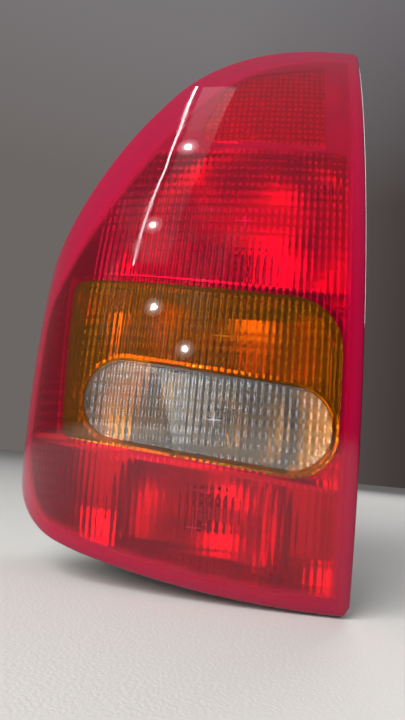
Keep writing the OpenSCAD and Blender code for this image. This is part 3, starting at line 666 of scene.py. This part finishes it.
# Moulding marks
# Thin four pointed stars in the lens in front of each bulb, made by engraved lines in the mould. Their rough
# flanks scatter light, so they look pale.
STARS = ((-65, 198), (-72, 131), (-72, 88), (-78.5, 35))
STAR_R, STAR_WAIST, STAR_FRONT, STAR_BACK = 5.0, 0.5, 0.6, 0.9
marks = bmesh.new()
for x, z in STARS:
    made = bmesh.ops.create_circle(marks, cap_ends=True, segments=8, radius=STAR_R)["verts"]
    for k, v in enumerate(made):
        reach = STAR_WAIST / STAR_R if k % 2 else 1
        v.co = (x + v.co.x * reach, 0, z + v.co.y * reach)
closed_shell(marks, lambda x, z: skin_depth(x, z, STAR_FRONT), lambda x, z: skin_depth(x, z, STAR_BACK))
to_object(marks, "lens_star_marks", acrylic("acrylic_frosted_marks", "#ffe6ea", 0.4), "clear_lens")

# Studio
# A floor of pale paper with a fine tooth, and a grey room that is paler overhead. A front and a low soft box
# light the chambers through the lens without being mirrored in it, and a third box lights the back. Ceiling
# tubes with dim panels beside them, and four spots, show in the polished skin.
FLOOR_HALF = 3.0
bm = bmesh.new()
bmesh.ops.create_grid(bm, x_segments=1, y_segments=1, size=FLOOR_HALF)
bmesh.ops.translate(bm, vec=(0, 0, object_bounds()[0][2]), verts=bm.verts)
mesh = bpy.data.meshes.new("floor")
bm.to_mesh(mesh)
bm.free()
floor = bpy.data.objects.new("floor", mesh)
bpy.context.scene.collection.objects.link(floor)
paper, tree, place = start_material("floor_paper")
fibre = add_node(tree, "ShaderNodeTexNoise", {"Vector": place, "Scale": 700.0, "Detail": 2.0}).outputs["Fac"]
bump = add_node(tree, "ShaderNodeBump", {
    "Height": fibre, "Strength": 0.15, "Distance": 0.001}).outputs["Normal"]
close_material(tree, {"Base Color": srgb("#d0cfcb"), "Roughness": 0.75, "Normal": bump})
mesh.materials.append(paper)

world = bpy.data.worlds.new("studio")
bpy.context.scene.world = world
world.use_nodes = True
tree = world.node_tree
tree.nodes.clear()
direction = add_node(tree, "ShaderNodeTexCoord").outputs["Generated"]
sideways, _, height = add_node(tree, "ShaderNodeSeparateXYZ", {"Vector": direction}).outputs
overhead = add_node(tree, "ShaderNodeMapRange", {
    "Value": height, "From Min": 0.45, "From Max": 0.95}).outputs["Result"]
shaded = add_node(tree, "ShaderNodeMapRange", {
    "Value": sideways, "From Min": -0.1, "From Max": 0.25}).outputs["Result"]
wall = add_node(tree, "ShaderNodeMix", {"Factor": shaded, "A": srgb("#6c6764"), "B": srgb("#403837")},
                data_type="RGBA").outputs["Result"]
room = add_node(tree, "ShaderNodeMix", {"Factor": overhead, "A": wall, "B": srgb("#86848a")},
                data_type="RGBA").outputs["Result"]
light = add_node(tree, "ShaderNodeBackground", {"Color": room, "Strength": 1.0})
add_node(tree, "ShaderNodeOutputWorld", {"Surface": light.outputs[0]})


def softbox(name, at, aim, size, glow, along=(0, 0, 1), shape="RECTANGLE"):
    """An area lamp at a place, turned to its aim; glow is its brightness, where 1 is white."""
    lamp = bpy.data.lights.new(name, "AREA")
    lamp.shape, lamp.size, lamp.size_y = shape, size[0], size[1]
    lamp.energy = glow * pi * size[0] * size[1]
    back = (Vector(at) - Vector(aim)).normalized()
    side = Vector(along).cross(back).normalized()
    turn = Matrix((side, back.cross(side), back)).transposed()
    made = bpy.data.objects.new(name, lamp)
    made.matrix_world = Matrix.Translation(at) @ turn.to_4x4()
    bpy.context.scene.collection.objects.link(made)
    return made


softbox("front_box", (-0.55, -1.0, 0.75), (0, 0, 0.05), (0.9, 0.9), 9.0).visible_glossy = False
softbox("back_box", (0.5, 1.4, 0.9), (0, 0, 0.05), (0.9, 0.9), 4.0)
softbox("low_box", (-0.45, -1.25, 0.12), (0, 0, 0), (0.7, 0.5), 6.0).visible_glossy = False

# The tubes run from point to point. Each panel's glow falls by a step from the first to the last.
TUBES = [Vector(p) for p in ((-0.274, -0.053, 1.259), (-0.348, -0.345, 1.164), (-0.414, -0.553, 1.036),
                             (-0.552, -0.878, 0.640))]
TUBE_W, TUBE_GLOW = 0.009, 16.0
PANELS = (("panel", 0.13, 0.7, 0.2), ("panel_middle", 0.08, 0.5, 0.15))
PANEL_SHIFT, UPPER_LENS = Vector((0.085, -0.035, 0.02)), Vector((-0.03, -0.1, 0.1))
for k, (a, b) in enumerate(zip(TUBES, TUBES[1:])):
    middle, run = (a + b) / 2, b - a
    softbox(f"tube_{k}", middle, UPPER_LENS, (TUBE_W, run.length), TUBE_GLOW, run)
    for part, width, glow, step in PANELS:
        softbox(f"{part}_{k}", middle + PANEL_SHIFT, UPPER_LENS, (width, run.length), glow - step * k, run)

SPOTS = ((-0.291, -0.428, 1.032), (-0.428, -0.717, 0.756), (-0.414, -0.939, 0.423), (-0.273, -1.044, 0.251))
SPOT_PARTS = (("bulb", 0.026, 60.0), ("shade", 0.05, 4.0), ("ring", 0.085, 1.2))
for k, at in enumerate(SPOTS):
    for part, width, glow in SPOT_PARTS:
        softbox(f"spot_{part}_{k}", at, UPPER_LENS, (width, width), glow, shape="ELLIPSE")

# The camera's place and direction, and its focal length in pixels of the frame.
EYE = Vector((0.0424, -0.3798, -0.0508))
FORWARD = Vector((-0.12414, 0.97613, 0.17824)).normalized()
RIGHT = Vector((0.98976, 0.10904, 0.09216)).normalized()
FOCAL, FRAME_H, SENSOR = 534.9, 720, 36
turn = Matrix((RIGHT, RIGHT.cross(FORWARD), -FORWARD)).transposed()
camera = bpy.data.objects.new("camera", bpy.data.cameras.new("camera"))
camera.matrix_world = Matrix.Translation(EYE) @ turn.to_4x4()
camera.data.lens = FOCAL / FRAME_H * SENSOR
camera.data.sensor_width = SENSOR
camera.data.clip_start = 0.01
bpy.context.scene.collection.objects.link(camera)
bpy.context.scene.camera = camera
bpy.context.scene.view_settings.view_transform = "Standard"
